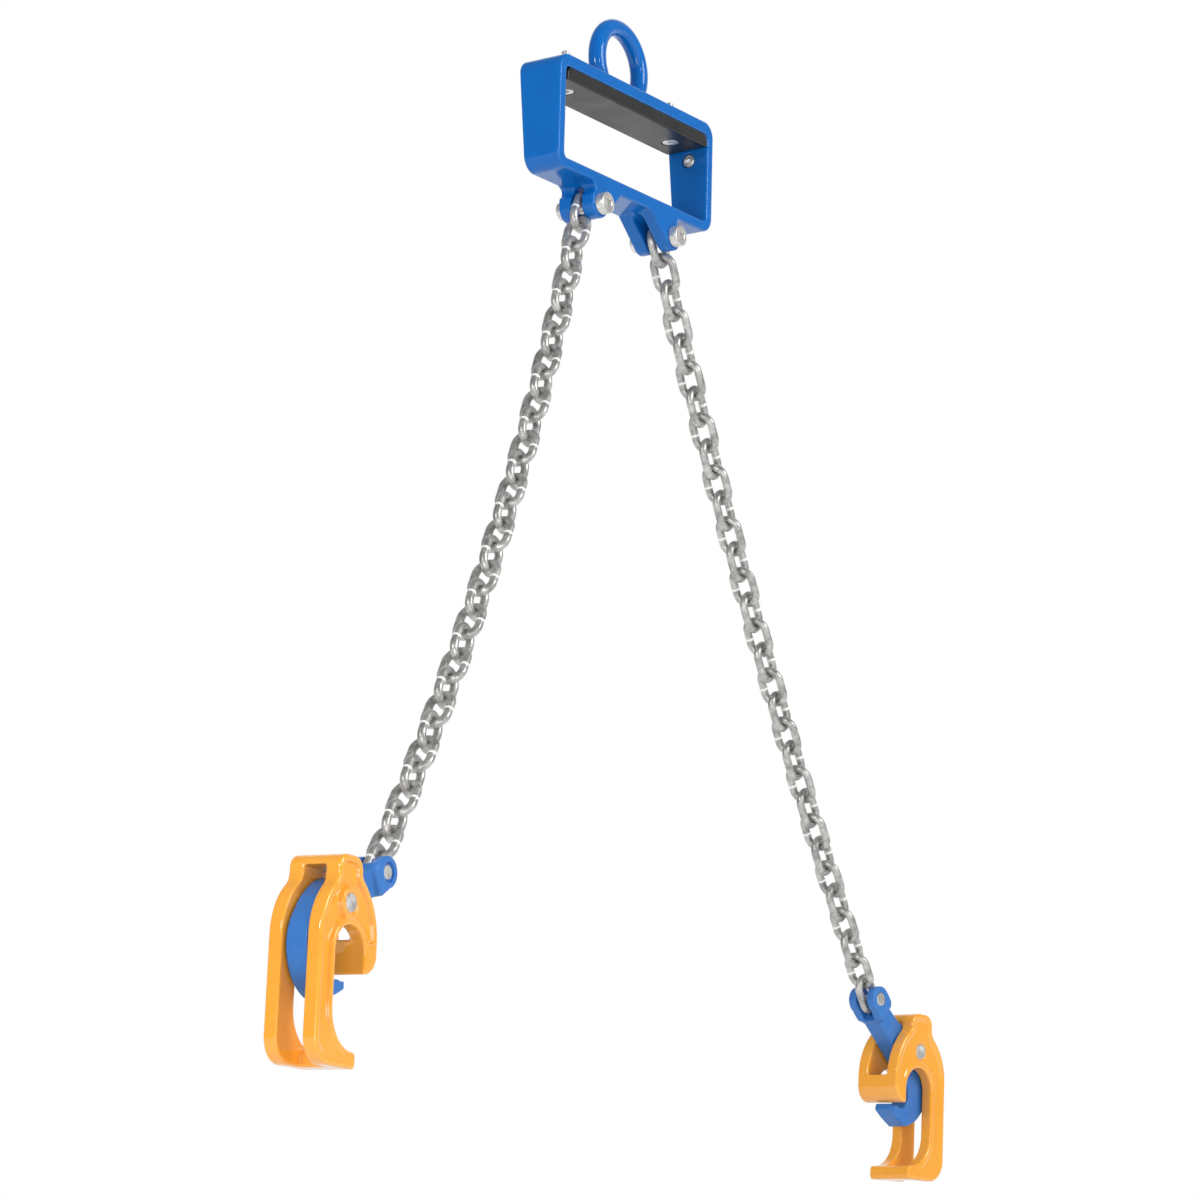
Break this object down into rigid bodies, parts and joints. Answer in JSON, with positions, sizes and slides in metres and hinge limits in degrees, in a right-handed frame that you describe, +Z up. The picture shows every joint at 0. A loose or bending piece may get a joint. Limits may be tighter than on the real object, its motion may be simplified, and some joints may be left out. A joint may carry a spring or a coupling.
{
  "type": "drum lifter",
  "caption": "Hanging drum lifter: a fork window frame with a ring eye, slanting link chains on lugs, and cam clamps whose jaws grip a drum's rim.",
  "frame": {"origin": "middle of the lifting eye", "axes": "+Z up along the eye's pull, X along the frame's long side with the clamp screw at +X, Y along a fork tine"},
  "size_m": [0.9621, 0.1234, 0.8411],
  "materials": {
    "frame_paint": "gloss blue paint",
    "lever_paint": "satin blue paint",
    "jaw_paint": "gloss amber paint",
    "pad_rubber": "matte black",
    "steel": "bright zinc"
  },
  "bodies": {
    "frame": {"cast_frame": "frame_paint", "lifting_eye": "frame_paint", "grip_pad": "pad_rubber", "pad_screws": "steel", "pad_washers": "steel", "pad_nuts": "steel", "clamp_lock_nut": "steel", "shackle_bolts": "steel", "shackle_nuts": "steel"},
    "clamp_screw": {"fork_clamp_screw": "steel"},
    "left_chain_1": {"left_chain_1": "steel", "left_chain_2": "steel"},
    "left_chain_2": {"left_chain_3": "steel", "left_chain_4": "steel"},
    "left_chain_3": {"left_chain_5": "steel", "left_chain_6": "steel"},
    "left_chain_4": {"left_chain_7": "steel", "left_chain_8": "steel"},
    "left_chain_5": {"left_chain_9": "steel", "left_chain_10": "steel"},
    "left_chain_6": {"left_chain_11": "steel", "left_chain_12": "steel"},
    "left_chain_7": {"left_chain_13": "steel", "left_chain_14": "steel"},
    "left_chain_8": {"left_chain_15": "steel", "left_chain_16": "steel"},
    "left_lever": {"left_cam_lever": "lever_paint", "left_chain_pin": "steel"},
    "left_clamp_jaw": {"left_jaw": "jaw_paint", "left_pivot_pin": "steel"},
    "right_chain_1": {"right_chain_1": "steel", "right_chain_2": "steel"},
    "right_chain_2": {"right_chain_3": "steel", "right_chain_4": "steel"},
    "right_chain_3": {"right_chain_5": "steel", "right_chain_6": "steel"},
    "right_chain_4": {"right_chain_7": "steel", "right_chain_8": "steel"},
    "right_chain_5": {"right_chain_9": "steel", "right_chain_10": "steel"},
    "right_chain_6": {"right_chain_11": "steel", "right_chain_12": "steel"},
    "right_chain_7": {"right_chain_13": "steel", "right_chain_14": "steel"},
    "right_chain_8": {"right_chain_15": "steel", "right_chain_16": "steel"},
    "right_lever": {"right_cam_lever": "lever_paint", "right_chain_pin": "steel"},
    "right_clamp_jaw": {"right_jaw": "jaw_paint", "right_pivot_pin": "steel"}
  },
  "joints": [
    {"name": "fork_clamp_screw_slide", "type": "slide", "parent": "frame", "child": "clamp_screw", "axis": [-1, 0, 0], "range_m": [0, 0.012]},
    {"name": "left_shackle", "type": "hinge", "parent": "frame", "child": "left_chain_1", "pos_m": [-0.051, 0, -0.1225], "axis": [0, 1, 0], "range_deg": [-45, 20]},
    {"name": "left_link_1", "type": "hinge", "parent": "left_chain_1", "child": "left_chain_2", "pos_m": [-0.08411, -0.00515, -0.18814], "axis": [-0.8871, -0.0086, 0.4615], "range_deg": [-15, 15]},
    {"name": "left_link_2", "type": "hinge", "parent": "left_chain_2", "child": "left_chain_3", "pos_m": [-0.12896, -0.01352, -0.27055], "axis": [-0.0641, 0.9958, -0.0658], "range_deg": [-15, 15]},
    {"name": "left_link_3", "type": "hinge", "parent": "left_chain_3", "child": "left_chain_4", "pos_m": [-0.1661, -0.02008, -0.33398], "axis": [-0.8552, -0.0317, 0.5174], "range_deg": [-15, 15]},
    {"name": "left_link_4", "type": "hinge", "parent": "left_chain_4", "child": "left_chain_5", "pos_m": [-0.21599, -0.02846, -0.41344], "axis": [-0.0875, 0.995, -0.0488], "range_deg": [-15, 15]},
    {"name": "left_link_5", "type": "hinge", "parent": "left_chain_5", "child": "left_chain_6", "pos_m": [-0.25701, -0.03501, -0.47443], "axis": [-0.8192, -0.0548, 0.5708], "range_deg": [-15, 15]},
    {"name": "left_link_6", "type": "hinge", "parent": "left_chain_6", "child": "left_chain_7", "pos_m": [-0.31176, -0.04339, -0.55062], "axis": [-0.1087, 0.9936, -0.0294], "range_deg": [-15, 15]},
    {"name": "left_link_7", "type": "hinge", "parent": "left_chain_7", "child": "left_chain_8", "pos_m": [-0.3565, -0.04995, -0.60894], "axis": [-0.7796, -0.0777, 0.6214], "range_deg": [-15, 15]},
    {"name": "left_chain_pin_hinge", "type": "hinge", "parent": "left_chain_8", "child": "left_lever", "pos_m": [-0.39629, -0.0556, -0.65817], "axis": [-0.0714, 0.9962, 0.0488], "range_deg": [-50, 50]},
    {"name": "left_cam_pivot", "type": "hinge", "parent": "left_lever", "child": "left_clamp_jaw", "pos_m": [-0.45152, -0.0583, -0.68392], "axis": [0.0714, -0.9962, -0.0488], "range_deg": [-16, 35]},
    {"name": "right_shackle", "type": "hinge", "parent": "frame", "child": "right_chain_1", "pos_m": [0.051, 0, -0.1225], "axis": [0, 1, 0], "range_deg": [-20, 45]},
    {"name": "right_link_1", "type": "hinge", "parent": "right_chain_1", "child": "right_chain_2", "pos_m": [0.08548, 0.00202, -0.18765], "axis": [0.88, -0.0132, 0.4749], "range_deg": [-15, 15]},
    {"name": "right_link_2", "type": "hinge", "parent": "right_chain_2", "child": "right_chain_3", "pos_m": [0.1314, 0.00531, -0.26983], "axis": [0.013, 0.9988, 0.0478], "range_deg": [-15, 15]},
    {"name": "right_link_3", "type": "hinge", "parent": "right_chain_3", "child": "right_chain_4", "pos_m": [0.16884, 0.00788, -0.33338], "axis": [0.8571, -0.0482, 0.5129], "range_deg": [-15, 15]},
    {"name": "right_link_4", "type": "hinge", "parent": "right_chain_4", "child": "right_chain_5", "pos_m": [0.21846, 0.01117, -0.41338], "axis": [0.04, 0.997, 0.0669], "range_deg": [-15, 15]},
    {"name": "right_link_5", "type": "hinge", "parent": "right_chain_5", "child": "right_chain_6", "pos_m": [0.25876, 0.01375, -0.47515], "axis": [0.8316, -0.0825, 0.5492], "range_deg": [-15, 15]},
    {"name": "right_link_6", "type": "hinge", "parent": "right_chain_6", "child": "right_chain_7", "pos_m": [0.31197, 0.01703, -0.5528], "axis": [0.0645, 0.994, 0.0881], "range_deg": [-15, 15]},
    {"name": "right_link_7", "type": "hinge", "parent": "right_chain_7", "child": "right_chain_8", "pos_m": [0.35504, 0.01961, -0.61268], "axis": [0.8037, -0.1159, 0.5836], "range_deg": [-15, 15]},
    {"name": "right_chain_pin_hinge", "type": "hinge", "parent": "right_chain_8", "child": "right_lever", "pos_m": [0.39309, 0.02183, -0.66353], "axis": [0.1235, 0.9911, 0.0489], "range_deg": [-50, 50]},
    {"name": "right_cam_pivot", "type": "hinge", "parent": "right_lever", "child": "right_clamp_jaw", "pos_m": [0.44036, 0.01783, -0.70188], "axis": [0.1235, 0.9911, 0.0489], "range_deg": [-4, 46]}
  ]
}
